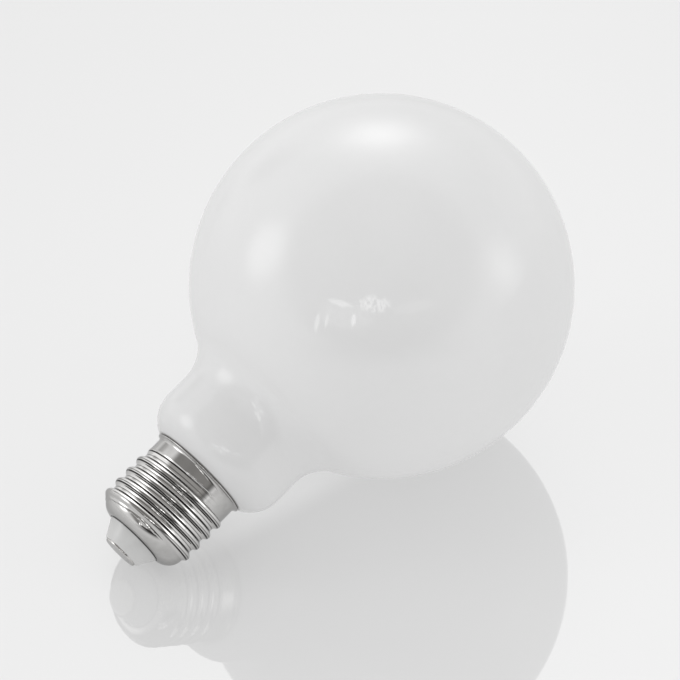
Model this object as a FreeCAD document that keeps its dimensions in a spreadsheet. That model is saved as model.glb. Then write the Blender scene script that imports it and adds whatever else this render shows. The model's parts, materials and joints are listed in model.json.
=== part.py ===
# A milky globe bulb with a rolled screw cap, lying as it comes to rest on its globe and the shoulder of its cap.
# Every piece is drawn upright about the bulb's axis, from the contact's face at height zero to the crown of the
# globe, and its placement then lays it down. Lengths are in millimetres, angles in degrees.
import FreeCAD, Part
import os

import Sketcher

# Driving sizes
SIZES = {
    "globe_diameter": 95.0,
    "overall_length": 140.0,
    "neck_diameter": 37.4,
    "neck_blend_radius": 10.6,
    "glass_shoulder_radius": 8.9,
    "glass_seat_inset": 0.5,
    "glass_stub_length": 8.0,
    "cement_gap": 0.3,
    "cap_length": 27.7,
    "rim_overhang": 0.9,
    "rim_thickness": 0.7,
    "collar_step": 0.34,
    "collar_height": 4.95,
    "shell_wall": 0.3,
    "thread_diameter": 26.1,
    "thread_depth": 0.99,
    "thread_pitch": 3.629,
    "thread_root_sink": 0.06,
    "thread_start_height": 7.9,
    "thread_start_angle": 30.0,
    "thread_run_in_offset": 1.6,
    "run_out_gap": 0.05,
    "foot_diameter": 15.6,
    "foot_height": 5.1,
    "insulator_end_diameter": 10.1,
    "insulator_end_round": 0.4,
    "insulator_gap": 0.1,
    "insulator_flange_diameter": 19.0,
    "insulator_flange_height": 7.2,
    "contact_diameter": 9.2,
    "contact_thickness": 0.55,
    "contact_edge_round": 0.35,
    "contact_stem_diameter": 3.2,
    "contact_stem_length": 4.0,
    "contact_stem_gap": 0.05,
}

# Sizes that follow from the driving ones, in the order in which they build on each other
DERIVED = {
    "globe_radius": "globe_diameter / 2",
    "globe_height": "overall_length - globe_radius",
    "neck_radius": "neck_diameter / 2",
    "thread_radius": "thread_diameter / 2",
    "core_radius": "thread_radius - thread_depth",
    "collar_radius": "core_radius + collar_step",
    "rim_radius": "collar_radius + rim_overhang",
    "glass_seat_radius": "rim_radius - glass_seat_inset",
    "glass_shoulder_height": "cap_length + sqrt(glass_shoulder_radius ^ 2"
    " - (glass_seat_radius - neck_radius + glass_shoulder_radius) ^ 2)",
    "blend_reach": "sqrt((globe_radius + neck_blend_radius) ^ 2 - (neck_radius + neck_blend_radius) ^ 2)",
    "blend_share": "globe_radius / (globe_radius + neck_blend_radius)",
    "bore_radius": "core_radius - shell_wall",
    "stub_radius": "bore_radius - cement_gap",
    "collar_foot": "cap_length - collar_height",
    "foot_radius": "foot_diameter / 2",
    "shoulder_radius": "core_radius - foot_radius",
    "shoulder_height": "foot_height + shoulder_radius",
    "thread_half_depth": "(thread_depth + thread_root_sink) / 2",
    "thread_round": "((thread_pitch / 4) ^ 2 + thread_half_depth ^ 2) / (2 * thread_half_depth)",
    "thread_root_end": "thread_pitch / 2 - sqrt(thread_round ^ 2 - (thread_round - thread_root_sink / 2) ^ 2)",
    "run_out_offset": "foot_radius - shoulder_height + sqrt(2) * (shoulder_radius + run_out_gap)",
    "run_out_top": "collar_foot + collar_radius - 2 * run_out_gap",
    "run_out_radius": "thread_radius + thread_pitch / 4",
    "run_out_foot": "thread_start_height - thread_pitch * 2 / 3",
    "run_in_top": "thread_start_height + thread_pitch * 0.45",
    "run_in_reach": "2 * thread_radius",
    "insulator_radius": "foot_radius - insulator_gap",
    "flange_radius": "insulator_flange_diameter / 2",
    "flange_round": "shoulder_radius - shell_wall - insulator_gap",
    "contact_radius": "contact_diameter / 2",
    "stem_radius": "contact_stem_diameter / 2",
    "rest_reach": "globe_height - shoulder_height",
    "rest_tilt": "asin((globe_radius - shoulder_radius) / sqrt(rest_reach ^ 2 + foot_radius ^ 2))"
    " - atan(foot_radius / rest_reach)",
    "rest_height": "globe_radius - globe_height * sin(rest_tilt)",
    "far_side": "globe_height * cos(rest_tilt) + globe_radius",
    "near_side": "(contact_radius - contact_edge_round) * sin(rest_tilt)"
    " + contact_edge_round * (1 - cos(rest_tilt))",
}

AXIS = "0"
SAME_PLACE = 1e-4

document = FreeCAD.newDocument("globe_bulb")
sheet = document.addObject("Spreadsheet::Sheet", "sizes")


def fill_sheet():
    """Write each driving size as a plain number and each derived one as a formula, with its name beside it."""
    cells = [(name, str(size)) for name, size in SIZES.items()]
    cells += [(name, "=" + formula) for name, formula in DERIVED.items()]
    for row, (name, text) in enumerate(cells, start=1):
        sheet.set(f"A{row}", name)
        sheet.set(f"B{row}", text)
        sheet.setAlias(f"B{row}", name)
        document.recompute()


def size_of(expression):
    """The number that an expression on the sheet's names gives."""
    result = sheet.evalExpression(expression)
    return float(getattr(result, "Value", result))


def on_sheet(expression):
    """The same expression with each name pointing at the sheet, for use outside it."""
    names = list(SIZES) + list(DERIVED)
    words = expression.replace("(", "( ").replace(")", " )").split()
    return " ".join("sizes." + word if word in names else word for word in words)


def new_body(label):
    """An empty body that is laid down with the rest of the bulb."""
    body = document.addObject("PartDesign::Body", label)
    body.Label = label
    body.Placement.Rotation = FreeCAD.Rotation(FreeCAD.Vector(0, 1, 0), 60)
    body.setExpression("Placement.Rotation.Angle", "90 deg - sizes.rest_tilt")
    body.setExpression("Placement.Base.x", on_sheet("(near_side - far_side) / 2"))
    body.setExpression("Placement.Base.z", on_sheet("rest_height"))
    return body


def own_plane(body, role):
    """One of the body's own planes: XZ_Plane for half sections, XY_Plane across the axis."""
    return next(item for item in body.Origin.OriginFeatures if item.Role == role)


def arc_middle(start, end, radius):
    """The point half-way round an arc of less than half a turn; a negative radius bows it to the left."""
    chord = end - start
    half = chord.Length / 2
    rise = abs(radius) - (max(radius**2 - half**2, 0)) ** 0.5
    to_right = FreeCAD.Vector(chord.y, -chord.x, 0).normalize()
    return (start + end) / 2 + to_right * rise * (1 if radius > 0 else -1)


def end_at(sketch, edge, place):
    """Which end of a drawn edge, 1 or 2, lies at a place."""
    return min((1, 2), key=lambda end: (sketch.getPoint(edge, end) - place).Length)


def bind(sketch, name, constraint, expression):
    """Add a constraint whose value follows an expression on the sheet."""
    index = sketch.addConstraint(constraint)
    sketch.renameConstraint(index, name)
    sketch.setExpression(f"Constraints.{name}", on_sheet(expression))


def draw(sketch, name, corners):
    """Draw one closed outline, with every corner and every arc bound to the sheet.

    A corner is (radius, height) or (radius, height, arc): two expressions for its place, and the radius of the
    arc from it to the next corner, with a minus sign where the arc bows to the left of that way.
    """
    places = [FreeCAD.Vector(size_of(corner[0]), size_of(corner[1]), 0) for corner in corners]
    following = places[1:] + places[:1]
    edges = []
    for corner, start, end in zip(corners, places, following):
        if len(corner) == 2:
            curve = Part.LineSegment(start, end)
        else:
            curve = Part.Arc(start, arc_middle(start, end, size_of(corner[2])), end)
        edges.append(sketch.addGeometry(curve))
    for index, (corner, place) in enumerate(zip(corners, places)):
        edge = edges[index]
        before = edges[index - 1]
        start = end_at(sketch, edge, place)
        sketch.addConstraint(Sketcher.Constraint("Coincident", before, end_at(sketch, before, place), edge, start))
        if corner[0] == AXIS:
            sketch.addConstraint(Sketcher.Constraint("PointOnObject", edge, start, -2))
        else:
            across = Sketcher.Constraint("DistanceX", -1, 1, edge, start, place.x)
            bind(sketch, f"{name}_radius_{index}", across, corner[0])
        upward = Sketcher.Constraint("DistanceY", -1, 1, edge, start, place.y)
        bind(sketch, f"{name}_height_{index}", upward, corner[1])
        if len(corner) == 3:
            size = Sketcher.Constraint("Radius", edge, abs(size_of(corner[2])))
            bind(sketch, f"{name}_arc_{index}", size, corner[2].lstrip("-"))


def half_section(body, name, *outlines):
    """A sketch of one or more closed outlines in the body's upright plane."""
    sketch = body.newObject("Sketcher::SketchObject", name)
    sketch.AttachmentSupport = [(own_plane(body, "XZ_Plane"), "")]
    sketch.MapMode = "FlatFace"
    for number, corners in enumerate(outlines, start=1):
        draw(sketch, f"outline_{number}", corners)
    return sketch


def turned(body, kind, name, *outlines):
    """A half section turned once round the bulb's axis, added as a Revolution or cut as a Groove."""
    sketch = half_section(body, name + "_section", *outlines)
    feature = body.newObject("PartDesign::" + kind, name)
    feature.Profile = sketch
    feature.ReferenceAxis = (sketch, ["V_Axis"])
    feature.Refine = False
    document.recompute()
    return feature


def rounded(body, base, name, radius, height, round_size):
    """A fillet on the circular edge of a given radius and height."""
    wanted = (size_of(radius), size_of(height))
    names = []
    for number, edge in enumerate(base.Shape.Edges, start=1):
        circle = edge.Curve
        if not isinstance(circle, Part.Circle):
            continue
        found = (circle.Radius, circle.Center.z)
        if max(abs(found[0] - wanted[0]), abs(found[1] - wanted[1])) < SAME_PLACE:
            names.append(f"Edge{number}")
    feature = body.newObject("PartDesign::Fillet", name)
    feature.Base = (base, names)
    feature.setExpression("Radius", on_sheet(round_size))
    document.recompute()
    return feature


def glass_globe():
    """The blown opal glass: a globe drawn in to a neck, whose end stands inside the cap. It is sealed and milky."""
    body = new_body("glass_globe")
    turned(
        body,
        "Revolution",
        "blown_glass",
        [
            (AXIS, "cap_length - glass_stub_length"),
            ("stub_radius", "cap_length - glass_stub_length"),
            ("stub_radius", "cap_length"),
            ("glass_seat_radius", "cap_length", "glass_shoulder_radius"),
            ("neck_radius", "glass_shoulder_height"),
            ("neck_radius", "globe_height - blend_reach", "-neck_blend_radius"),
            (
                "(neck_radius + neck_blend_radius) * blend_share",
                "globe_height - blend_reach * blend_share",
                "globe_radius",
            ),
            ("globe_radius", "globe_height", "globe_radius"),
            (AXIS, "overall_length"),
        ],
    )
    return body


def thread_ridge(body):
    """The rolled ridge of the screw: crest and root are arcs of one radius that meet half-way up the flank."""
    middle = "thread_radius - thread_half_depth"
    buried = "core_radius - shell_wall / 2"
    root = "core_radius - thread_root_sink / 2"
    above = "thread_start_height + thread_root_end"
    below = "thread_start_height - thread_root_end"
    sketch = half_section(
        body,
        "ridge_section",
        [
            (middle, "thread_start_height - thread_pitch / 4", "thread_round"),
            ("thread_radius", "thread_start_height", "thread_round"),
            (middle, "thread_start_height + thread_pitch / 4", "-thread_round"),
            (root, above),
            (buried, above),
            (buried, below),
            (root, below, "-thread_round"),
        ],
    )
    sketch.AttachmentOffset.Rotation = FreeCAD.Rotation(FreeCAD.Vector(0, 1, 0), 1)
    sketch.setExpression("AttachmentOffset.Rotation.Angle", "sizes.thread_start_angle * 1 deg")
    ridge = body.newObject("PartDesign::AdditiveHelix", "rolled_thread")
    ridge.Profile = sketch
    ridge.ReferenceAxis = (sketch, ["V_Axis"])
    ridge.Mode = "pitch-height-angle"
    ridge.Refine = False
    ridge.setExpression("Pitch", on_sheet("thread_pitch"))
    ridge.setExpression("Height", on_sheet("collar_foot - thread_start_height"))
    document.recompute()
    return ridge


def thread_run_in(body):
    """A cut along a circle beside the axis, from which the ridge rises softly out of the core at its start."""
    sketch = body.newObject("Sketcher::SketchObject", "run_in_section")
    sketch.AttachmentSupport = [(own_plane(body, "XY_Plane"), "")]
    sketch.MapMode = "FlatFace"
    sketch.AttachmentOffset.Rotation = FreeCAD.Rotation(FreeCAD.Vector(0, 0, 1), 1)
    sketch.setExpression("AttachmentOffset.Rotation.Angle", "sizes.thread_start_angle * 1 deg")
    sketch.setExpression("AttachmentOffset.Base.z", on_sheet("run_in_top"))
    upward = FreeCAD.Vector(0, 0, 1)
    beside = FreeCAD.Vector(-size_of("thread_run_in_offset"), 0, 0)
    rise = "core_radius + thread_run_in_offset"
    inner = sketch.addGeometry(Part.Circle(beside, upward, size_of(rise)))
    outer = sketch.addGeometry(Part.Circle(FreeCAD.Vector(), upward, size_of("run_in_reach")))
    sketch.addConstraint(Sketcher.Constraint("PointOnObject", inner, 3, -1))
    sketch.addConstraint(Sketcher.Constraint("Coincident", outer, 3, -1, 1))
    shift = Sketcher.Constraint("DistanceX", inner, 3, -1, 1, -beside.x)
    bind(sketch, "shift", shift, "thread_run_in_offset")
    bind(sketch, "inner", Sketcher.Constraint("Radius", inner, size_of(rise)), rise)
    bind(sketch, "outer", Sketcher.Constraint("Radius", outer, size_of("run_in_reach")), "run_in_reach")
    cut = body.newObject("PartDesign::Pocket", "thread_run_in")
    cut.Profile = sketch
    cut.Refine = False
    cut.setExpression("Length", on_sheet("run_in_top - run_out_foot"))
    document.recompute()
    return cut


def screw_shell():
    """The plated sheet shell: a drawn cup with a rolled thread, a plain collar and a rim turned out under the glass."""
    body = new_body("screw_shell")
    turned(
        body,
        "Revolution",
        "drawn_cup",
        [
            (AXIS, "foot_height"),
            ("foot_radius", "foot_height", "shoulder_radius"),
            ("core_radius", "shoulder_height"),
            ("core_radius", "cap_length - rim_thickness"),
            (AXIS, "cap_length - rim_thickness"),
        ],
    )
    thread_ridge(body)
    dug = "core_radius - shell_wall / 2"
    turned(
        body,
        "Groove",
        "thread_run_outs",
        [
            ("run_out_foot + run_out_offset", "run_out_foot"),
            ("run_out_radius", "run_out_foot"),
            ("run_out_radius", "run_out_radius - run_out_offset"),
        ],
        [
            (dug, "run_out_top - core_radius + shell_wall / 2"),
            ("run_out_radius", "run_out_top - run_out_radius"),
            ("run_out_radius", "cap_length"),
            (dug, "cap_length"),
        ],
    )
    thread_run_in(body)
    lip = "rim_radius - rim_thickness / 2"
    turned(
        body,
        "Revolution",
        "collar_and_rim",
        [
            (AXIS, "collar_foot - collar_radius + core_radius - shell_wall / 2"),
            (dug, "collar_foot - collar_radius + core_radius - shell_wall / 2"),
            ("collar_radius", "collar_foot"),
            ("collar_radius", "cap_length - rim_thickness"),
            (lip, "cap_length - rim_thickness", "rim_thickness / 2"),
            (lip, "cap_length"),
            (AXIS, "cap_length"),
        ],
    )
    turned(
        body,
        "Groove",
        "hollow",
        [
            (AXIS, "foot_height - shell_wall"),
            ("foot_radius", "foot_height - shell_wall"),
            ("foot_radius", "foot_height + shell_wall", "shoulder_radius - shell_wall"),
            ("bore_radius", "shoulder_height"),
            ("bore_radius", "cap_length + shell_wall"),
            (AXIS, "cap_length + shell_wall"),
        ],
    )
    return body


def insulator():
    """The moulded cone that keeps the contact apart from the shell, held by a flange inside the shell's foot."""
    body = new_body("insulator")
    hole = "stem_radius + contact_stem_gap"
    hole_top = "contact_thickness + contact_stem_length + contact_stem_gap"
    seat = "shoulder_height - flange_round"
    cone = turned(
        body,
        "Revolution",
        "moulded_cone",
        [
            (AXIS, hole_top),
            (hole, hole_top),
            (hole, "contact_thickness"),
            ("insulator_end_diameter / 2", "contact_thickness"),
            ("insulator_radius", "foot_height"),
            ("insulator_radius", seat),
            ("foot_radius", seat, "flange_round"),
            ("flange_radius", "shoulder_height - sqrt(flange_round ^ 2 - (flange_radius - foot_radius) ^ 2)"),
            ("flange_radius", "insulator_flange_height"),
            (AXIS, "insulator_flange_height"),
        ],
    )
    rounded(body, cone, "soft_end", "insulator_end_diameter / 2", "contact_thickness", "insulator_end_round")
    return body


def centre_contact():
    """The plated contact: a round button with a soft edge, pressed into the insulator by its stem."""
    body = new_body("centre_contact")
    button = turned(
        body,
        "Revolution",
        "button",
        [
            (AXIS, "0"),
            ("contact_radius", "0"),
            ("contact_radius", "contact_thickness"),
            ("stem_radius", "contact_thickness"),
            ("stem_radius", "contact_thickness + contact_stem_length"),
            (AXIS, "contact_thickness + contact_stem_length"),
        ],
    )
    rounded(body, button, "soft_edge", "contact_radius", "0", "contact_edge_round")
    return body


def check(bodies):
    """Stop if any object failed, or if a piece is not one sound solid."""
    for item in document.Objects:
        if "Invalid" in item.State or "Error" in item.State:
            raise RuntimeError(f"{item.Name} failed: {item.State}")
    for body in bodies:
        if body.Shape.isNull() or not body.Shape.isValid() or len(body.Shape.Solids) != 1:
            raise RuntimeError(f"{body.Label} is not one sound solid")


fill_sheet()
pieces = [glass_globe(), screw_shell(), insulator(), centre_contact()]
document.recompute()
check(pieces)
os.makedirs("parts", exist_ok=True)
for piece in pieces:
    piece.Shape.exportStep(f"parts/{piece.Label}.step")
    box = piece.Shape.BoundBox
    print(f"{piece.Label}: volume {piece.Shape.Volume:.1f}, {len(piece.Shape.Faces)} faces, lowest {box.ZMin:.3f}")
print(f"rest tilt {size_of('rest_tilt'):.3f}")
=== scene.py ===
# %% [markdown]
# # A milky globe bulb
# The bulb lies as it comes to rest, on its globe and on the shoulder of its screw cap. The packed
# solids fix its size and its place. This lesson gives each of the four pieces a finely divided
# skin, dresses it in the finish of the real thing, and sets it on a pale glossy table under soft
# light.

# %% Load the packed frame
import json
import math

import bmesh
import bpy
import numpy as np
from mathutils import Matrix, Quaternion, Vector


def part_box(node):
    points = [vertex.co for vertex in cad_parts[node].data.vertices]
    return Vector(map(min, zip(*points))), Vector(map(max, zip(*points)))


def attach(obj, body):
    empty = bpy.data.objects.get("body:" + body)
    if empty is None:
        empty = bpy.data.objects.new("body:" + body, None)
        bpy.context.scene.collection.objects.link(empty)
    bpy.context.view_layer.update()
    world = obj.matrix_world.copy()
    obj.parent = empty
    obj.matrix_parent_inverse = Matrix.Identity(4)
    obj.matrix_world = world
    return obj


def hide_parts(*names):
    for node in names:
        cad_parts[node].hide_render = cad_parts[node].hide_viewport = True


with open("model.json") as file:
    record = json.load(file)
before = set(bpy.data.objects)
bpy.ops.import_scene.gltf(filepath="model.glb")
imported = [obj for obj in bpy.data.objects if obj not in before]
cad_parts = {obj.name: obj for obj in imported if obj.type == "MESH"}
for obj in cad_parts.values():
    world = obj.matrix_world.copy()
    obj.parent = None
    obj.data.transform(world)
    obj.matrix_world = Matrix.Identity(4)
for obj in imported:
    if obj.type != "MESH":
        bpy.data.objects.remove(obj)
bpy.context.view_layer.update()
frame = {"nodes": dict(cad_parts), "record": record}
print("CAD nodes:", ", ".join(sorted(frame["nodes"])))

# %% [markdown]
# ## The bulb's own axis
# Everything on a bulb is round about one axis, from the contact's face to the crown of the globe.
# The packed record names the contact's face as a mount, with its place and its direction, so the
# axis is read from there and not measured again. Pieces are then drawn upright in millimetres and
# laid down by one matrix. The matrix's first column points to the floor side, which is also where
# the screw's angle is counted from.

# %% Find the axis
MM = 0.001
mounts = {mount["name"]: mount for mount in frame["record"]["mounts"]}
contact_place = Vector(mounts["contact_face"]["pos_m"])
axis = -Vector(mounts["contact_face"]["axis"]).normalized()
floor_side = Vector((axis.z, 0, -axis.x))
across = axis.cross(floor_side)
leaning = Matrix((floor_side, across, axis)).transposed().to_4x4()
laid_down = Matrix.Translation(contact_place) @ leaning
glass_low, glass_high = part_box("glass_globe")
globe_radius = (glass_high.y - glass_low.y) / 2 / MM
globe_centre = Vector((glass_high.x - globe_radius * MM, 0, globe_radius * MM))
globe_height = (globe_centre - contact_place).length / MM
print(f"axis slopes {math.degrees(math.asin(axis.z)):.2f} degrees")
print(f"globe: radius {globe_radius:.2f} mm, centre {globe_height:.2f} mm up the axis")

# %% [markdown]
# ## A skin from rows and columns
# A turned piece could be a curve with a Screw modifier. Here every piece is one grid of points
# instead: rows run up the half section and columns run round the axis. That keeps the quads even,
# which a mirror finish needs, and the screw thread can then push single points of the grid
# outwards. Points that meet on the axis are merged, and edges that the tool left crisp are marked
# sharp so that smooth shading doesn't smear over them.

# %% Lines of a half section
def arc(centre, radius, start, end, steps):
    """Points of an arc in the half section; 0 degrees points outwards and 90 degrees upwards."""
    angles = np.radians(np.linspace(start, end, steps + 1))
    outwards = centre[0] + radius * np.cos(angles)
    upwards = centre[1] + radius * np.sin(angles)
    return np.column_stack((outwards, upwards))


def line(start, end, steps):
    """Points of a straight stretch, without its first one."""
    return np.linspace(start, end, steps + 1)[1:]


def turned(outline, columns):
    """Radius and height arrays of a half section that is the same all the way round."""
    points = np.asarray(outline)
    ones = np.ones(columns)
    return np.outer(points[:, 0], ones), np.outer(points[:, 1], ones)


print("helpers for a half section: arc, line, turned")

# %% Skins and their places
SHARP_ANGLE = math.radians(38)
MERGE_DISTANCE = 0.001 * MM


def skin(name, radius, height, closed=False):
    """A mesh from two arrays of rows by columns: each point's radius and height in millimetres."""
    turn = np.linspace(0, 2 * np.pi, radius.shape[1], endpoint=False)
    points = np.stack((radius * np.cos(turn), radius * np.sin(turn), height), axis=-1) * MM
    index = np.arange(radius.size).reshape(radius.shape)
    lower = index if closed else index[:-1]
    upper = np.roll(index, -1, axis=0) if closed else index[1:]
    next_lower, next_upper = np.roll(lower, -1, axis=1), np.roll(upper, -1, axis=1)
    quads = np.stack((lower, next_lower, next_upper, upper), axis=-1)
    mesh = bpy.data.meshes.new(name)
    mesh.from_pydata(points.reshape(-1, 3).tolist(), [], quads.reshape(-1, 4).tolist())
    builder = bmesh.new()
    builder.from_mesh(mesh)
    bmesh.ops.remove_doubles(builder, verts=builder.verts, dist=MERGE_DISTANCE)
    builder.to_mesh(mesh)
    builder.free()
    mesh.shade_smooth()
    mesh.set_sharp_from_angle(angle=SHARP_ANGLE)
    return mesh


def settle(name, mesh, node):
    """Lay a skin down in its place, where it stands for a CAD node."""
    mesh.transform(laid_down)
    piece = bpy.data.objects.new(name, mesh)
    bpy.context.scene.collection.objects.link(piece)
    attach(piece, "root")
    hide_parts(node)
    print(f"{name}: {len(mesh.polygons)} faces")


print("helpers for a piece: skin, settle")

# %% [markdown]
# ## The blown glass
# The envelope is blown as one bubble: a globe, a hollow curve into the neck, a rounded shoulder and
# a plain stub that stands in the cap. A sphere and a cylinder would meet in a crease, so the half
# section is drawn with arcs that are tangent to each other. Rows are closest where the curve is
# tight, around the neck. Lengths are in millimetres here and in the other pieces.

# %% Glass skin
CAP_LENGTH = 27.7
NECK_RADIUS = 18.7
NECK_BLEND = 10.6
GLASS_SHOULDER = 8.9
GLASS_SEAT = 12.8
STUB_RADIUS = 11.46
STUB_LENGTH = 8.0
SHOULDER_ROWS, NECK_ROWS, BLEND_ROWS, GLOBE_ROWS = 28, 8, 24, 196
GLASS_COLUMNS = 360

blend_axis = NECK_RADIUS + NECK_BLEND
blend_reach = math.sqrt((globe_radius + NECK_BLEND) ** 2 - blend_axis**2)
blend_height = globe_height - blend_reach
blend_angle = math.degrees(math.atan2(blend_reach, blend_axis))
shoulder_axis = NECK_RADIUS - GLASS_SHOULDER
shoulder_angle = -math.degrees(math.acos((GLASS_SEAT - shoulder_axis) / GLASS_SHOULDER))
shoulder_height = CAP_LENGTH - GLASS_SHOULDER * math.sin(math.radians(shoulder_angle))
stub_end = CAP_LENGTH - STUB_LENGTH
glass_outline = np.vstack(
    (
        [(0, stub_end), (STUB_RADIUS, stub_end), (STUB_RADIUS, CAP_LENGTH)],
        arc((shoulder_axis, shoulder_height), GLASS_SHOULDER, shoulder_angle, 0, SHOULDER_ROWS),
        line((NECK_RADIUS, shoulder_height), (NECK_RADIUS, blend_height), NECK_ROWS),
        arc((blend_axis, blend_height), NECK_BLEND, 180, 180 - blend_angle, BLEND_ROWS)[1:],
        arc((0, globe_height), globe_radius, -blend_angle, 90, GLOBE_ROWS)[1:],
    )
)
glass_mesh = skin("glass", *turned(glass_outline, GLASS_COLUMNS))
settle("opal_envelope", glass_mesh, "glass_globe")

# %% [markdown]
# ## The rolled screw shell
# The shell is drawn from thin sheet and its thread is rolled in, so crest and root are arcs of the
# same radius that meet half-way up the flank. The ridge could be a curve swept along a helix, but
# it would need joining to the cup. Instead the grid's points move outwards: for each point, the
# helix says how far it is from the nearest crest, and the two arcs turn that distance into a
# radius. A slanting limit lets the ridge run out into the foot, and at its start it rises out of
# the core over part of a turn. At its end it sinks into the collar while it still climbs: the
# groove below the last half turn of the ridge fills up, so the collar is taller on one side than
# on the other. The rim is the sheet's own edge, turned outwards in a small curve.

# %% Thread measures
SHELL_WALL = 0.3
THREAD_RADIUS = 13.05
THREAD_DEPTH = 0.99
THREAD_PITCH = 3.629
ROOT_SINK = 0.06
THREAD_START_HEIGHT = 7.9
THREAD_START_ANGLE = 30.0
FOOT_RADIUS = 7.8
FOOT_HEIGHT = 5.1
COLLAR_STEP = 0.34
RUN_OUT_GAP = 0.05
# These count turns of the helix from the thread's start.
RUN_IN_TURN = 0.2
RUN_OUT_TURNS = (3.85, 4.60)
LAST_CREST = 4
STEP_PHASES = (3.86, 4.02)
FILL_TURNS = (0.48, 0.66)

core_radius = THREAD_RADIUS - THREAD_DEPTH
bore_radius = core_radius - SHELL_WALL
collar_radius = core_radius + COLLAR_STEP
foot_round = core_radius - FOOT_RADIUS
foot_round_height = FOOT_HEIGHT + foot_round
half_depth = (THREAD_DEPTH + ROOT_SINK) / 2
thread_round = ((THREAD_PITCH / 4) ** 2 + half_depth**2) / (2 * half_depth)
run_out_offset = FOOT_RADIUS - foot_round_height + math.sqrt(2) * (foot_round + RUN_OUT_GAP)
print(f"thread: rounds of {thread_round:.3f} mm, {RUN_OUT_TURNS[1]:.2f} turns")


# %% Thread shape
def smooth(value, low, high):
    """A soft rise from 0 to 1 between two values."""
    share = np.clip((value - low) / (high - low), 0, 1)
    return share**2 * (3 - 2 * share)


def thread_steps(height, turn):
    """Pitches from the thread's start to a point, along the axis; whole numbers are crests."""
    return (height - THREAD_START_HEIGHT) / THREAD_PITCH - turn


def ridge_radius(height, turn):
    """The thread's radius and how far it has risen, at a height and a share of a turn."""
    steps = thread_steps(height, turn)
    nearest = np.maximum(np.round(steps), 0)
    away = np.abs(steps - nearest) * THREAD_PITCH
    crest = THREAD_RADIUS - thread_round + np.sqrt(np.maximum(thread_round**2 - away**2, 0))
    from_root = THREAD_PITCH / 2 - away
    root = THREAD_RADIUS - 2 * half_depth + thread_round
    root = root - np.sqrt(np.maximum(thread_round**2 - from_root**2, 0))
    radius = np.where(away < THREAD_PITCH / 4, crest, root)
    radius = np.where(away < THREAD_PITCH / 2, radius, 0)
    radius = np.minimum(radius, height + run_out_offset)
    turns = nearest + turn
    return radius, smooth(turns, 0, RUN_IN_TURN) * (1 - smooth(turns, *RUN_OUT_TURNS))


def collar_share(height, turn):
    """How far the wall has stepped out: along the last crest, and where the groove is filled."""
    steps = thread_steps(height, turn)
    filled = smooth(turn, *FILL_TURNS) * (steps > LAST_CREST - 1)
    return np.maximum(smooth(steps, *STEP_PHASES), filled)


print("helpers for the thread: smooth, thread_steps, ridge_radius, collar_share")

# %% Shell skin
RIM_OVERHANG = 0.9
RIM_EDGE = 0.36
FLARE_ROUND = 1.0
FOOT_ROWS, WALL_ROWS, FLARE_ROWS, LIP_ROWS = 48, 176, 14, 10
RIM_ROWS, BORE_ROWS, INNER_FOOT_ROWS = 2, 4, 12
SHELL_COLUMNS = 288

edge_round = RIM_EDGE / 2
lip_axis = collar_radius + RIM_OVERHANG - edge_round
lip_height = CAP_LENGTH - edge_round
flare_axis = collar_radius + FLARE_ROUND
flare_turn = math.acos((flare_axis - lip_axis) / (FLARE_ROUND + edge_round))
flare_foot = lip_height - (FLARE_ROUND + edge_round) * math.sin(flare_turn)
flare_degrees = math.degrees(flare_turn)
foot_centre = (FOOT_RADIUS, foot_round_height)
foot_curve = arc(foot_centre, foot_round, -90, 0, FOOT_ROWS)
wall = line((core_radius, foot_round_height), (core_radius, flare_foot), WALL_ROWS)[:-1]
shell_outline = np.vstack(
    (
        foot_curve,
        wall,
        arc((flare_axis, flare_foot), FLARE_ROUND, 180, 180 - flare_degrees, FLARE_ROWS),
        arc((lip_axis, lip_height), edge_round, -flare_degrees, 90, LIP_ROWS)[1:],
        line((lip_axis, CAP_LENGTH), (bore_radius, CAP_LENGTH), RIM_ROWS),
        line((bore_radius, CAP_LENGTH), (bore_radius, foot_round_height), BORE_ROWS),
        arc(foot_centre, foot_round - SHELL_WALL, 0, -90, INNER_FOOT_ROWS)[1:],
    )
)
shell_radius, shell_height = turned(shell_outline, SHELL_COLUMNS)
turn_share = (np.arange(SHELL_COLUMNS) / SHELL_COLUMNS - THREAD_START_ANGLE / 360) % 1.0
turns = np.broadcast_to(turn_share, shell_height.shape)
ridge, risen = ridge_radius(shell_height, turns)
stepped = COLLAR_STEP * collar_share(shell_height, turns)
lift = np.maximum(np.maximum(ridge - shell_radius, 0) * risen, stepped)
lift[len(foot_curve) + len(wall) :] = 0
shell_mesh = skin("shell", shell_radius + lift, shell_height, closed=True)
settle("rolled_shell", shell_mesh, "screw_shell")

# %% [markdown]
# ## Insulator and contact
# The insulator is a moulded cone that narrows towards the contact, with a soft lower edge, and a
# flange inside the foot holds it. The contact is a round button with a stem. Both are turned from
# half sections like the glass; the small roundings matter most, because they catch the light as
# thin lines.

# %% Insulator skin
INSULATOR_END = 5.05
INSULATOR_ROUND = 0.4
INSULATOR_RADIUS = 7.7
FLANGE_RADIUS = 9.5
FLANGE_TOP = 7.2
FLANGE_GAP = 0.1
CONTACT_THICKNESS = 0.55
STEM_RADIUS = 1.6
STEM_LENGTH = 4.0
STEM_GAP = 0.05
EDGE_ROWS, FLANGE_ROWS = 10, 6
CONE_COLUMNS = 160

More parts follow.
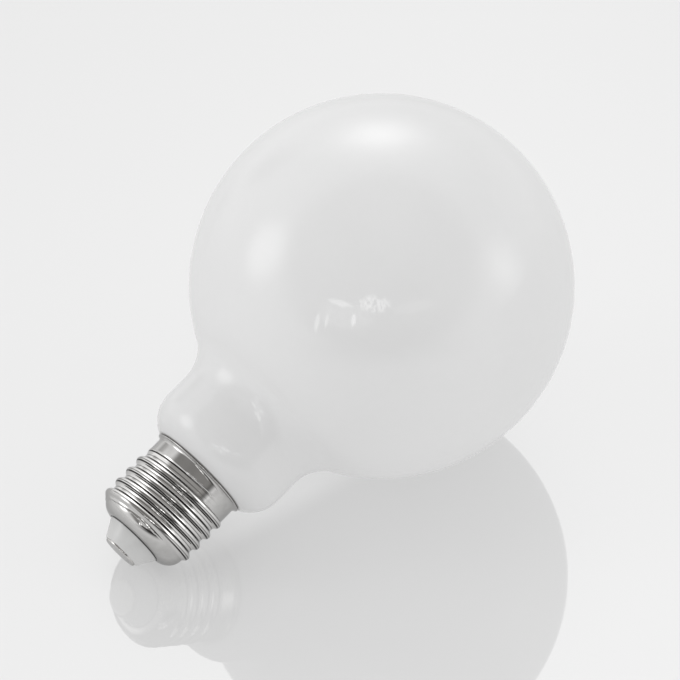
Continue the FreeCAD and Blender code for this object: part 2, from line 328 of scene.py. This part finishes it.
hole = STEM_RADIUS + STEM_GAP
hole_top = CONTACT_THICKNESS + STEM_LENGTH + STEM_GAP
cone_rise = FOOT_HEIGHT - CONTACT_THICKNESS
cone_lean = math.atan2(INSULATOR_RADIUS - INSULATOR_END, cone_rise)
round_axis = INSULATOR_END - INSULATOR_ROUND * math.tan((math.pi / 2 - cone_lean) / 2)
round_centre = (round_axis, CONTACT_THICKNESS + INSULATOR_ROUND)
flange_round = foot_round - SHELL_WALL - FLANGE_GAP
seat_height = foot_round_height - flange_round
flange_angle = -math.degrees(math.acos((FLANGE_RADIUS - FOOT_RADIUS) / flange_round))
insulator_outline = np.vstack(
    (
        [(0, hole_top), (hole, hole_top), (hole, CONTACT_THICKNESS)],
        arc(round_centre, INSULATOR_ROUND, -90, -math.degrees(cone_lean), EDGE_ROWS),
        [(INSULATOR_RADIUS, FOOT_HEIGHT), (INSULATOR_RADIUS, seat_height)],
        arc(foot_centre, flange_round, -90, flange_angle, FLANGE_ROWS),
        [(FLANGE_RADIUS, FLANGE_TOP), (0, FLANGE_TOP)],
    )
)
insulator_mesh = skin("insulator", *turned(insulator_outline, CONE_COLUMNS))
settle("moulded_cone", insulator_mesh, "insulator")

# %% Contact skin
CONTACT_RADIUS = 4.6
CONTACT_ROUND = 0.35
FACE_ROWS, BUTTON_ROWS = 8, 8
BUTTON_COLUMNS = 128

stem_top = CONTACT_THICKNESS + STEM_LENGTH
face_radius = CONTACT_RADIUS - CONTACT_ROUND
contact_outline = np.vstack(
    (
        [(0, 0)],
        line((0, 0), (face_radius, 0), FACE_ROWS)[:-1],
        arc((face_radius, CONTACT_ROUND), CONTACT_ROUND, -90, 0, BUTTON_ROWS),
        [(CONTACT_RADIUS, CONTACT_THICKNESS), (STEM_RADIUS, CONTACT_THICKNESS)],
        [(STEM_RADIUS, stem_top), (0, stem_top)],
    )
)
contact_mesh = skin("contact", *turned(contact_outline, BUTTON_COLUMNS))
settle("contact_button", contact_mesh, "centre_contact")

# %% [markdown]
# ## Shader maths as expressions
# Node trees are easier to read as sums. This small class wraps one output socket: arithmetic on it
# adds Math nodes, and one method adds any other node, with its settings first and then the values
# or links of its sockets.

# %% The wrapped socket
class Wire:
    """An output socket of a node tree that can be used in arithmetic."""

    def __init__(self, tree, socket=None):
        self.tree = tree
        self.socket = socket

    def node(self, kind, settings=None, sockets=None, output=0):
        """Add a node, set it up, feed its sockets with values or links, and give one output."""
        made = self.tree.nodes.new(kind)
        for name, value in (settings or {}).items():
            setattr(made, name, value)
        for name, value in (sockets or {}).items():
            if isinstance(value, Wire):
                self.tree.links.new(value.socket, made.inputs[name])
            else:
                made.inputs[name].default_value = value
        return Wire(self.tree, made.outputs[output])

    def math(self, operation, first, second=0.0):
        """A Math node on one or two values."""
        return self.node("ShaderNodeMath", {"operation": operation}, {0: first, 1: second})

    def __add__(self, other):
        return self.math("ADD", self, other)

    def __sub__(self, other):
        return self.math("SUBTRACT", self, other)

    def __rsub__(self, other):
        return self.math("SUBTRACT", other, self)

    def __mul__(self, other):
        return self.math("MULTIPLY", self, other)

    def __truediv__(self, other):
        return self.math("DIVIDE", self, other)

    def __rtruediv__(self, other):
        return self.math("DIVIDE", other, self)

    __radd__ = __add__
    __rmul__ = __mul__

    def ramp(self, low, high):
        """A smooth rise from 0 to 1 between two values."""
        limits = {"Value": self, "From Min": low, "From Max": high}
        return self.node("ShaderNodeMapRange", {"interpolation_type": "SMOOTHSTEP"}, limits)

    def mix(self, first, second):
        """A colour between two colours, with this value as the share of the second."""
        return self.node("ShaderNodeMix", {"data_type": "RGBA"}, {0: self, 6: first, 7: second}, 2)

    def vector(self, operation, second, output=0):
        """A Vector Math node on this vector and another one."""
        kind, settings = "ShaderNodeVectorMath", {"operation": operation}
        return self.node(kind, settings, {0: self, 1: second}, output)

    def dot(self, direction):
        """The length of this vector along another one."""
        return self.vector("DOT_PRODUCT", direction, 1)

    def noise(self, scale, detail=2.0, roughness=0.5):
        """Soft noise over this vector, about 0.5."""
        sockets = {"Vector": self, "Scale": scale, "Detail": detail, "Roughness": roughness}
        return self.node("ShaderNodeTexNoise", None, sockets)

    def rings(self, scale):
        """Noise along one value only, about 0.5."""
        sockets = {"W": self, "Scale": scale}
        return self.node("ShaderNodeTexNoise", {"noise_dimensions": "1D"}, sockets)


print("wires can do:", ", ".join(name for name in vars(Wire) if not name.startswith("_")))


# %% Helpers for a finish
def grey(tone):
    """A colour without a hue."""
    return (tone, tone, tone, 1)


def finish_tree(name):
    """A new material, a wire to start from, its shader, and a point's place from the contact."""
    material = bpy.data.materials.new(name)
    material.use_nodes = True
    shader = material.node_tree.nodes["Principled BSDF"]
    start = Wire(material.node_tree)
    point = start.node("ShaderNodeTexCoord", output="Object")
    return material, start, shader, point.vector("SUBTRACT", contact_place)


def feed(shader, **values):
    """Set or link sockets of a shader; underscores stand for spaces."""
    for name, value in values.items():
        socket = shader.inputs[name.replace("_", " ")]
        if isinstance(value, Wire):
            value.tree.links.new(value.socket, socket)
        else:
            socket.default_value = value


def bump(height, strength, distance):
    """A surface that is raised by a value, over a distance in metres."""
    sockets = {"Strength": strength, "Distance": distance, "Height": height}
    return height.node("ShaderNodeBump", None, sockets)


print("helpers for a finish: grey, finish_tree, feed, bump")

# %% [markdown]
# ## Opal glass
# The real envelope is clear glass with a thin milky coat inside. Nothing shows through it, so it
# isn't a see-through shader: it is a pale body under a smooth clear surface. The body is a little
# cloudy because the coat is never quite even, and where the glass is seen edge on its own faint
# green shows. The neck is painted a little darker, as painted shade. The surface has the long
# shallow waves of blown glass, strongest around the neck where it was drawn in, and a thin band of
# painted shade at the rim of the cap stands for the dark gap between glass and rim. Heights in the
# finishes are metres from the contact, along the axis.

# %% Opal finish
THIN_MILK, THICK_MILK = grey(0.753), grey(0.773)
GLASS_EDGE = (0.785, 0.791, 0.786, 1)
# Painted shade: a darker tone for the neck and a dark band at the rim of the cap.
NECK_PAINTED_SHADE = grey(0.692)
GLASS_GAP_SHADE = (0.26, 0.255, 0.25, 1)
CLOUD_SCALE, SPECK_SCALE, WAVE_SCALE = 24.0, 420.0, 38.0
NECK_HEIGHTS = (0.030, 0.060)
GLASS_GAP_SHADE_HEIGHTS = (0.0278, 0.0282)
WAVE_STRENGTH, WAVE_DISTANCE = 0.12, 0.0012
GLASS_IOR = 1.52

opal, start, shader, place = finish_tree("opal_glass")
clouds = place.noise(CLOUD_SCALE, 3.0)
specks = place.noise(SPECK_SCALE)
cloudy = (clouds * 0.85 + specks * 0.15).ramp(0.35, 0.65)
body = cloudy.mix(THIN_MILK, THICK_MILK)
edge = start.node("ShaderNodeLayerWeight", None, {"Blend": 0.25}, "Facing")
tinted = (edge.ramp(0.35, 1.0) * 0.7).mix(body, GLASS_EDGE)
waves = place.noise(WAVE_SCALE, 1.0)
height = place.dot(axis)
near_neck = 1 - height.ramp(*NECK_HEIGHTS)
# Painted shade: the neck is painted a little darker.
neck_shaded = (near_neck * 0.8).mix(tinted, NECK_PAINTED_SHADE)
# Painted shade: a thin dark band at the rim of the cap stands for the gap between glass and rim.
gap_shaded = (1 - height.ramp(*GLASS_GAP_SHADE_HEIGHTS)).mix(neck_shaded, GLASS_GAP_SHADE)
surface = bump(waves * (near_neck * 0.8 + 0.2), WAVE_STRENGTH, WAVE_DISTANCE)
feed(shader, Base_Color=gap_shaded, Roughness=clouds * 0.03 + 0.03, Normal=surface, IOR=GLASS_IOR)
glass_mesh.materials.append(opal)
print("opal glass:", len(opal.node_tree.nodes), "nodes")

# %% [markdown]
# ## Bright nickel plate
# Plating follows every mark of the rolled sheet: faint rings along the thread and a few stains.
# The thread has a brighter plate than the collar, a painted highlight that makes its reflected
# lines shine. Thin dark lines follow each ridge, on both flanks, in the root and along the crest:
# painted shade and painted dark reflections of the grooves. A plain mirror would look like foil.
# The lines could be curves laid on the metal, but the helix is known, so the finish works out each
# point's share of a pitch and darkens the plate at four of them. The shader's edge tint is a grey
# that darkens the reflection where the surface turns out of sight: a painted dark outline on the
# rounded edges.

# %% Nickel tones and lines
# A brighter plate for the thread (a painted highlight), a near black for painted shade lines, and a
# grey edge tint that paints a dark outline.
THREAD_HIGHLIGHT_PLATE = (0.95, 0.94, 0.925, 1)
PAINTED_LINE_SHADE = (0.02, 0.019, 0.018, 1)
EDGE_SHADE_TINT = grey(0.70)
STAIN_SCALE, RING_SCALE = 160.0, 7.0
THREAD_HEIGHTS = (0.0086, 0.0098)
PLATE_STRENGTH, PLATE_DISTANCE = 0.3, 0.00006
# Shares of a pitch: a line's middle, and the distances between which it fades.
UPPER_FLANK = (0.275, 0.05, 0.105)
LOWER_FLANK = (0.85, 0.03, 0.075)
ROOT = (0.545, 0.015, 0.06)
CREST_FADE = (0.43, 0.49)
THIN_LINES = 0.65

start_angle = math.radians(THREAD_START_ANGLE)
thread_start = floor_side * math.cos(start_angle) + across * math.sin(start_angle)
past_start = across * math.cos(start_angle) - floor_side * math.sin(start_angle)


def off_middle(phase, middle):
    """How far a share of a pitch is from another one."""
    return phase.math("ABSOLUTE", phase - middle)


def shade_line(phase, middle, full, faded):
    """A mask for a line of painted shade along the helix, full at one share of a pitch."""
    return 1 - off_middle(phase, middle).ramp(full, faded)


print("dark lines at", UPPER_FLANK[0], LOWER_FLANK[0], ROOT[0], "and 0 of a pitch above each crest")


# %% Nickel finish
def nickel(name, bright, dull):
    """Nickel plate between two tones, with painted shade lines along the thread's flanks, root and
    crest.
    """
    material, start, shader, place = finish_tree(name)
    height = place.dot(axis)
    angle = start.math("ARCTAN2", place.dot(-past_start), place.dot(-thread_start))
    turn = angle / (2 * math.pi) + 0.5
    pitches = (height / MM - THREAD_START_HEIGHT) / THREAD_PITCH - turn
    phase = start.math("FRACT", pitches)
    stains = place.noise(STAIN_SCALE, 4.0, 0.6)
    rings = pitches.rings(RING_SCALE)
    worn = stains.ramp(0.42, 0.72)
    filled = turn.ramp(*FILL_TURNS) * pitches.ramp(LAST_CREST - 0.85, LAST_CREST - 0.7)
    below_collar = 1 - pitches.ramp(LAST_CREST - 0.06, LAST_CREST)
    threaded = height.ramp(*THREAD_HEIGHTS) * below_collar * (1 - filled)
    flank_lines = shade_line(phase, *UPPER_FLANK) + shade_line(phase, *LOWER_FLANK)
    thin_lines = shade_line(phase, *ROOT) + off_middle(phase, 0.5).ramp(*CREST_FADE)
    # Painted shade and painted dark reflections: dark lines along the thread's grooves.
    painted_lines = (flank_lines + thin_lines * THIN_LINES) * threaded * stains.ramp(0.1, 0.4)
    # The thread's brighter plate is a painted highlight for its bright reflected lines.
    plate = threaded.mix(worn.mix(bright, dull), THREAD_HIGHLIGHT_PLATE)
    colour = (painted_lines * 0.98).mix(plate, PAINTED_LINE_SHADE)
    rough = rings * 0.03 + worn * 0.03 + 0.015
    surface = bump(rings * threaded + stains * 0.12, PLATE_STRENGTH, PLATE_DISTANCE)
    feed(shader, Base_Color=colour, Metallic=1.0, Roughness=rough)
    # The grey edge tint darkens the reflection at grazing angles: a painted dark outline.
    feed(shader, Normal=surface, Specular_Tint=EDGE_SHADE_TINT)
    print(f"{name}: {len(material.node_tree.nodes)} nodes")
    return material


SHELL_TONES = ((0.675, 0.668, 0.658, 1), (0.59, 0.583, 0.572, 1))
CONTACT_TONES = ((0.76, 0.75, 0.735, 1), (0.68, 0.67, 0.655, 1))
shell_mesh.materials.append(nickel("plated_shell", *SHELL_TONES))
contact_mesh.materials.append(nickel("plated_contact", *CONTACT_TONES))

# %% [markdown]
# ## Pale insulator
# A glossy grey moulding. Its surface has a very fine grain and a little unevenness from the mould,
# and a band of painted shade darkens it in the narrow seam where it goes into the foot of the
# shell.

# %% Insulator finish
MOULD_DARK, MOULD_PALE = (0.565, 0.565, 0.56, 1), (0.595, 0.595, 0.59, 1)
# Painted shade in the seam at the foot of the shell.
CONE_SEAM_SHADE = grey(0.05)
GRAIN_SCALE, FLOW_SCALE = 900.0, 120.0
CONE_SEAM_SHADE_HEIGHTS = (0.00478, 0.00498)
GRAIN_STRENGTH, GRAIN_DISTANCE = 0.04, 0.0001

pale, start, shader, place = finish_tree("insulator")
grain = place.noise(GRAIN_SCALE, 3.0)
flow = place.noise(FLOW_SCALE)
tone = (grain * 0.3 + flow * 0.7).ramp(0.2, 0.8).mix(MOULD_DARK, MOULD_PALE)
# Painted shade: darker where the cone goes into the foot of the shell.
seam_shade = place.dot(axis).ramp(*CONE_SEAM_SHADE_HEIGHTS)
surface = bump(grain, GRAIN_STRENGTH, GRAIN_DISTANCE)
feed(shader, Base_Color=seam_shade.mix(tone, CONE_SEAM_SHADE), Roughness=grain * 0.1 + 0.2, Normal=surface)
insulator_mesh.materials.append(pale)
print("insulator:", len(pale.node_tree.nodes), "nodes")

# %% [markdown]
# ## Camera
# The picture was taken through a long lens from above, towards the cap's side. Its direction,
# distance and focal length follow from the outline of the globe and of its mirror image in the
# table. The camera aims beside the globe, so that the globe's centre falls right of and above the
# middle of the picture without any lens shift.

# %% Camera
PICTURE_SIZE = 680
FOCAL_PIXELS = 4960.0
SENSOR_MM = 36.0
VIEW_BEARING = math.radians(50.53)
VIEW_DROP = math.radians(38.13)
VIEW_DISTANCE = 1.221
VIEW_ROLL = math.radians(0.45)
GLOBE_PIXEL = (381.7, 286.0)

ahead = Vector((math.cos(VIEW_BEARING), math.sin(VIEW_BEARING), 0))
right = Vector((ahead.y, -ahead.x, 0))
up = Vector((0, 0, 1))
view = ahead * math.cos(VIEW_DROP) - up * math.sin(VIEW_DROP)
eye = globe_centre - view * VIEW_DISTANCE
upright = Matrix((right, right.cross(view), -view)).transposed().to_quaternion()
facing_globe = upright @ Quaternion((0, 0, 1), -VIEW_ROLL)
middle = PICTURE_SIZE / 2
off_centre = Vector((middle - GLOBE_PIXEL[0], GLOBE_PIXEL[1] - middle, -FOCAL_PIXELS))
swing = Vector((0, 0, -1)).rotation_difference(off_centre)
lens = bpy.data.cameras.new("camera")
lens.sensor_width = SENSOR_MM
lens.lens = FOCAL_PIXELS * SENSOR_MM / PICTURE_SIZE
camera = bpy.data.objects.new("camera", lens)
camera.location = eye
camera.rotation_mode = "QUATERNION"
camera.rotation_quaternion = facing_globe @ swing
bpy.context.scene.collection.objects.link(camera)
bpy.context.scene.camera = camera
print(f"camera at {eye.x:.3f}, {eye.y:.3f}, {eye.z:.3f}, lens {lens.lens:.1f} mm")

# %% [markdown]
# ## Table
# The bulb lies on a white glossy sheet. At this angle such a sheet reflects a few hundredths of
# what is behind the bulb, so the bulb shows below itself as a pale grey shape, and otherwise it is
# plain white. Its tone is painted a little lighter towards the near and right sides: painted light.
# Part of its tone is a glow of its own, painted light that lifts the shadows. The glow is strongest
# in the deep shadow along the bulb, it fades where the sheet is seen at a low angle and only
# mirrors, and near the cap mirrored rays see less of it: painted shade for the dark gap below the
# cap.

# %% Table top
TABLE_SIZE = 30.0
TABLE_SQUARES = 8

table_mesh = bpy.data.meshes.new("table")
builder = bmesh.new()
bmesh.ops.create_grid(
    builder, x_segments=TABLE_SQUARES, y_segments=TABLE_SQUARES, size=TABLE_SIZE / 2
)
builder.to_mesh(table_mesh)
builder.free()
table = bpy.data.objects.new("table", table_mesh)
bpy.context.scene.collection.objects.link(table)
table.visible_diffuse = False
table.visible_shadow = False
print(f"table: {TABLE_SIZE:.0f} m square")

# %% Table finish
# Painted light: the sheet's tone is lighter towards the near and right sides.
NEAR_LEFT, FAR_LEFT = grey(0.305), grey(0.268)
NEAR_RIGHT, FAR_RIGHT = grey(0.337), grey(0.288)
# Painted light: a glow that lifts the shadows, stronger in the strip along the bulb.
OPEN_GLOW, SHADOW_FILL_LIGHT = grey(0.40), grey(0.49)
SHEET_IOR = 1.55
# Distances on the table, in metres from the contact.
AHEAD_FADE, RIGHT_FADE = (-0.1, 0.3), (-0.03, 0.14)
SHADOW_SIDE = (0.003, 0.012)
SHADOW_START, SHADOW_END = (0.008, 0.016), (0.05, 0.09)
CAP_GAP = (0.04, 0.09)
# Painted shade: how much of the glow mirrored rays near the cap lose.
REFLECTED_GAP_SHADE = 0.2

sheet, start, shader, place = finish_tree("glossy_sheet")
farther = place.dot(ahead).ramp(*AHEAD_FADE)
rightward = place.dot(right).ramp(*RIGHT_FADE)
painted_light_tone = rightward.mix(farther.mix(NEAR_LEFT, FAR_LEFT), farther.mix(NEAR_RIGHT, FAR_RIGHT))
along = place.dot(across.cross(up))
beside = start.math("ABSOLUTE", place.dot(across))
under_bulb = along.ramp(*SHADOW_START) * (1 - along.ramp(*SHADOW_END))
in_shadow = (1 - beside.ramp(*SHADOW_SIDE)) * under_bulb
# Painted light in the table's shadow along the bulb.
painted_glow = in_shadow.mix(OPEN_GLOW, SHADOW_FILL_LIGHT)
from_cap = start.node("ShaderNodeVectorMath", {"operation": "LENGTH"}, {0: place}, 1)
mirrored = start.node("ShaderNodeLightPath", output="Is Glossy Ray")
gloss = start.node("ShaderNodeFresnel", None, {"IOR": SHEET_IOR})
# Painted shade in reflections: mirrored rays near the cap see less glow.
hidden = start.math("MAXIMUM", gloss, mirrored * (1 - from_cap.ramp(*CAP_GAP)) * REFLECTED_GAP_SHADE)
feed(shader, Base_Color=painted_light_tone, Roughness=0.0, IOR=SHEET_IOR)
feed(shader, Emission_Color=hidden.mix(painted_glow, grey(0)), Emission_Strength=1.0)
table_mesh.materials.append(sheet)
print("glossy sheet:", len(sheet.node_tree.nodes), "nodes")

# %% [markdown]
# ## Panels and panes
# Soft light comes from three glowing panels with soft edges: a large one behind the bulb, one on
# the left and a weaker one on the right. Lamps would have hard edges in the mirror-smooth glass,
# so the panels are painted into the world as smooth patches. A few small bright panes on the near
# side, one of them barred, give the globe its crisp marks. Each is given by its bearing, its rise,
# half its width and half its height, all in degrees. A higher edge value ends a patch more crisply.

# %% Soft patches
FRONT_FADE = (0.0, 0.2)

world = bpy.data.worlds.new("studio")
world.use_nodes = True
bpy.context.scene.world = world
sky = Wire(world.node_tree)
toward = sky.node("ShaderNodeTexCoord", output="Generated")


def aim(bearing, rise):
    """A direction from its bearing, counted from straight ahead to the right, and its rise."""
    bearing, rise = math.radians(bearing), math.radians(rise)
    level = ahead * math.cos(bearing) + right * math.sin(bearing)
    return level * math.cos(rise) + up * math.sin(rise)


def patch(bearing, rise, half_width, half_height, edge=1.0):
    """A soft spot in the studio, half as strong at its half width and half height."""
    centre = aim(bearing, rise)
    side = centre.cross(up).normalized()
    wide = toward.dot(side) / math.sin(math.radians(half_width))
    tall = toward.dot(side.cross(centre)) / math.sin(math.radians(half_height))
    spread = sky.math("POWER", wide * wide + tall * tall, edge) * -math.log(2)
    return sky.math("EXPONENT", spread) * toward.dot(centre).ramp(*FRONT_FADE)


print("helpers for the studio: aim, patch")

# %% Panels
BACK_PANEL, BACK_LIGHT = (-1, 42, 12, 12), 2.5
LEFT_PANEL, LEFT_LIGHT = (-90.5, 22, 12, 13.5, 1.8), 1.8
RIGHT_PANEL, RIGHT_LIGHT = (94, 14, 10, 11), 1.5

back_panel = patch(*BACK_PANEL) * BACK_LIGHT
left_panel = patch(*LEFT_PANEL) * LEFT_LIGHT
right_panel = patch(*RIGHT_PANEL) * RIGHT_LIGHT
print("panels at bearings", BACK_PANEL[0], LEFT_PANEL[0], RIGHT_PANEL[0])

# %% Panes
PANE_EDGE = 4
BARRED_PANE, BARRED_LIGHT = (-175, 27.5, 9.5, 5), 1.3
FAINT_PANE, FAINT_LIGHT, FAINT_BARS = (-158, 18, 15, 7), 0.12, 0.2
PLAIN_PANES = (
    ((-153, 25, 7, 1.6), 1.0),
    ((-141.5, 10, 1.3, 5), 1.0),
    ((-163, 17, 1.3, 3.5), 1.2),
    ((-147, 13, 0.8, 4), 1.0),
    ((160, 24, 12, 3.5), 0.25),
)
BAR_STRETCH = (1.0, 1.0, 0.2)
BAR_SCALE = 42.0

bars = toward.vector("MULTIPLY", BAR_STRETCH).noise(BAR_SCALE, 1.0).ramp(0.42, 0.56)
panes = patch(*BARRED_PANE, PANE_EDGE) * bars * BARRED_LIGHT
panes = panes + patch(*FAINT_PANE, PANE_EDGE) * (bars * FAINT_BARS + FAINT_LIGHT)
for pane, strength in PLAIN_PANES:
    panes = panes + patch(*pane, PANE_EDGE) * strength
print("panes:", len(PLAIN_PANES) + 2)

# %% [markdown]
# ## Studio
# Metal and glass see the studio with its dark near side, which gives nickel its contrast, and with
# the panes in it. The table mirrors only the back panel and pale walls, so that it stays plain from
# every side: it is the one perfectly sharp mirror here, and such rays have a switch of their own.
# Only its far edge mirrors the dark side, so that no hard horizon shows in the globe. The even fill
# that lights pale surfaces stands for the light that wanders about inside a milky globe.

# %% Walls and dark side
NEAR_SIDE = (180, 50)
DARK_FADE, FAR_EDGE_FADE, DIM_FADE = (0.40, 0.66), (0.05, 0.3), (0.08, 0.35)
SHADE, SHADE_DEPTH = (-40, 17, 7, 10, 1.5), 0.55
DIM_LOW, DIM_HIGH = (0.035, 0.034, 0.033, 1), (0.29, 0.284, 0.277, 1)
WALLS = grey(0.88)

upward = toward.dot(up)
by_bulb = 1 - sky.node("ShaderNodeLightPath", output="Is Singular Ray")
shows_dark = sky.math("MAXIMUM", by_bulb, 1 - upward.ramp(*FAR_EDGE_FADE))
dark = toward.dot(aim(*NEAR_SIDE)).ramp(*DARK_FADE) * shows_dark
shade = patch(*SHADE) * SHADE_DEPTH
dim = upward.ramp(*DIM_FADE).mix(DIM_LOW, DIM_HIGH)
room = ((1 - dark) * (1 - shade)).mix(dim, WALLS)
print("near side at bearing", NEAR_SIDE[0])

# %% World
FILL = grey(0.875)
BACKDROP = grey(0.86)
PANE_LIGHT = 2.2
SOFT_BACK, SOFT_LEFT, SOFT_RIGHT = 0.65, 1.5, 1.1

mirrored = sky.node("ShaderNodeLightPath", output="Is Glossy Ray")
through = sky.node("ShaderNodeLightPath", output="Is Transmission Ray")
seen = sky.node("ShaderNodeLightPath", output="Is Camera Ray")
sharp = sky.math("MAXIMUM", mirrored, through)
sharp_light = back_panel + (left_panel + right_panel + panes * PANE_LIGHT) * by_bulb
soft_light = back_panel * SOFT_BACK + left_panel * SOFT_LEFT + right_panel * SOFT_RIGHT
lit = sharp_light * sharp + soft_light * (1 - sharp)
added = sky.node("ShaderNodeCombineColor", None, {0: lit, 1: lit, 2: lit})
adding = {"data_type": "RGBA", "blend_type": "ADD"}
studio = sky.node("ShaderNodeMix", adding, {0: 1.0, 6: sharp.mix(FILL, room), 7: added}, 2)
feed(world.node_tree.nodes["Background"], Color=seen.mix(studio, BACKDROP))
print("studio:", len(world.node_tree.nodes), "nodes")

# %% [markdown]
# ## Close
# Colours are shown as they are.

# %% Close
bpy.context.scene.view_settings.view_transform = "Standard"
